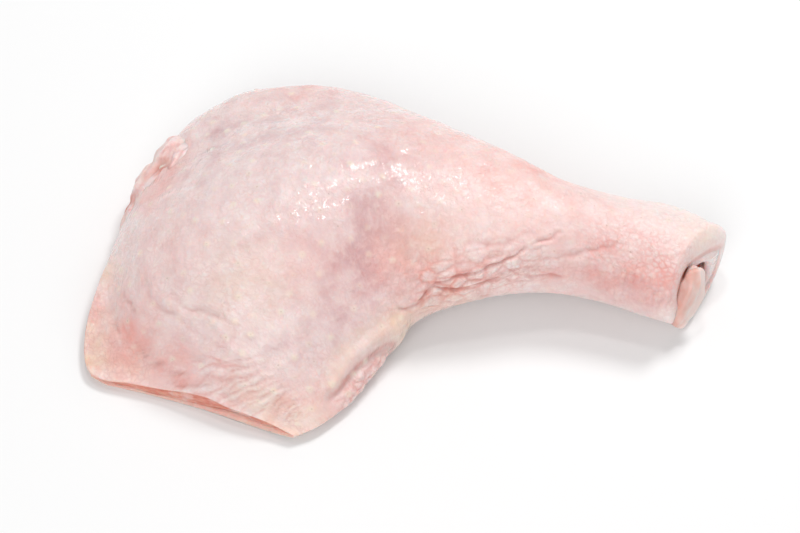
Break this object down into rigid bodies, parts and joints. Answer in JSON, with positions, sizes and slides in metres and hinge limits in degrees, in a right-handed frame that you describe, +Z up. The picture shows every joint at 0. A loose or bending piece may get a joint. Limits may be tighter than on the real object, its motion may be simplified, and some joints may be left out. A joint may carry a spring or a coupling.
{
  "type": "raw chicken leg",
  "caption": "Raw chicken leg, thigh and drumstick in one piece with the skin on, lying skin side up: flesh shows at the hip cut and a tendon at the hock.",
  "frame": {"origin": "middle of the bounding box at its lowest face, on the surface the leg lies on", "axes": "+X along the leg towards the hock, +Y towards the outer back of the thigh, +Z up out of the skin side"},
  "size_m": [0.1956, 0.1222, 0.0419],
  "materials": {
    "skin": "moist raw skin, pale pink with a yellowish hem, soft gloss",
    "flesh": "wet cut muscle with seams of fat, salmon red",
    "tendon": "smooth wet cartilage and tendon, whitish pink"
  },
  "bodies": {
    "root": {"skin": "skin", "flesh": "flesh", "tendon": "tendon"}
  },
  "joints": []
}
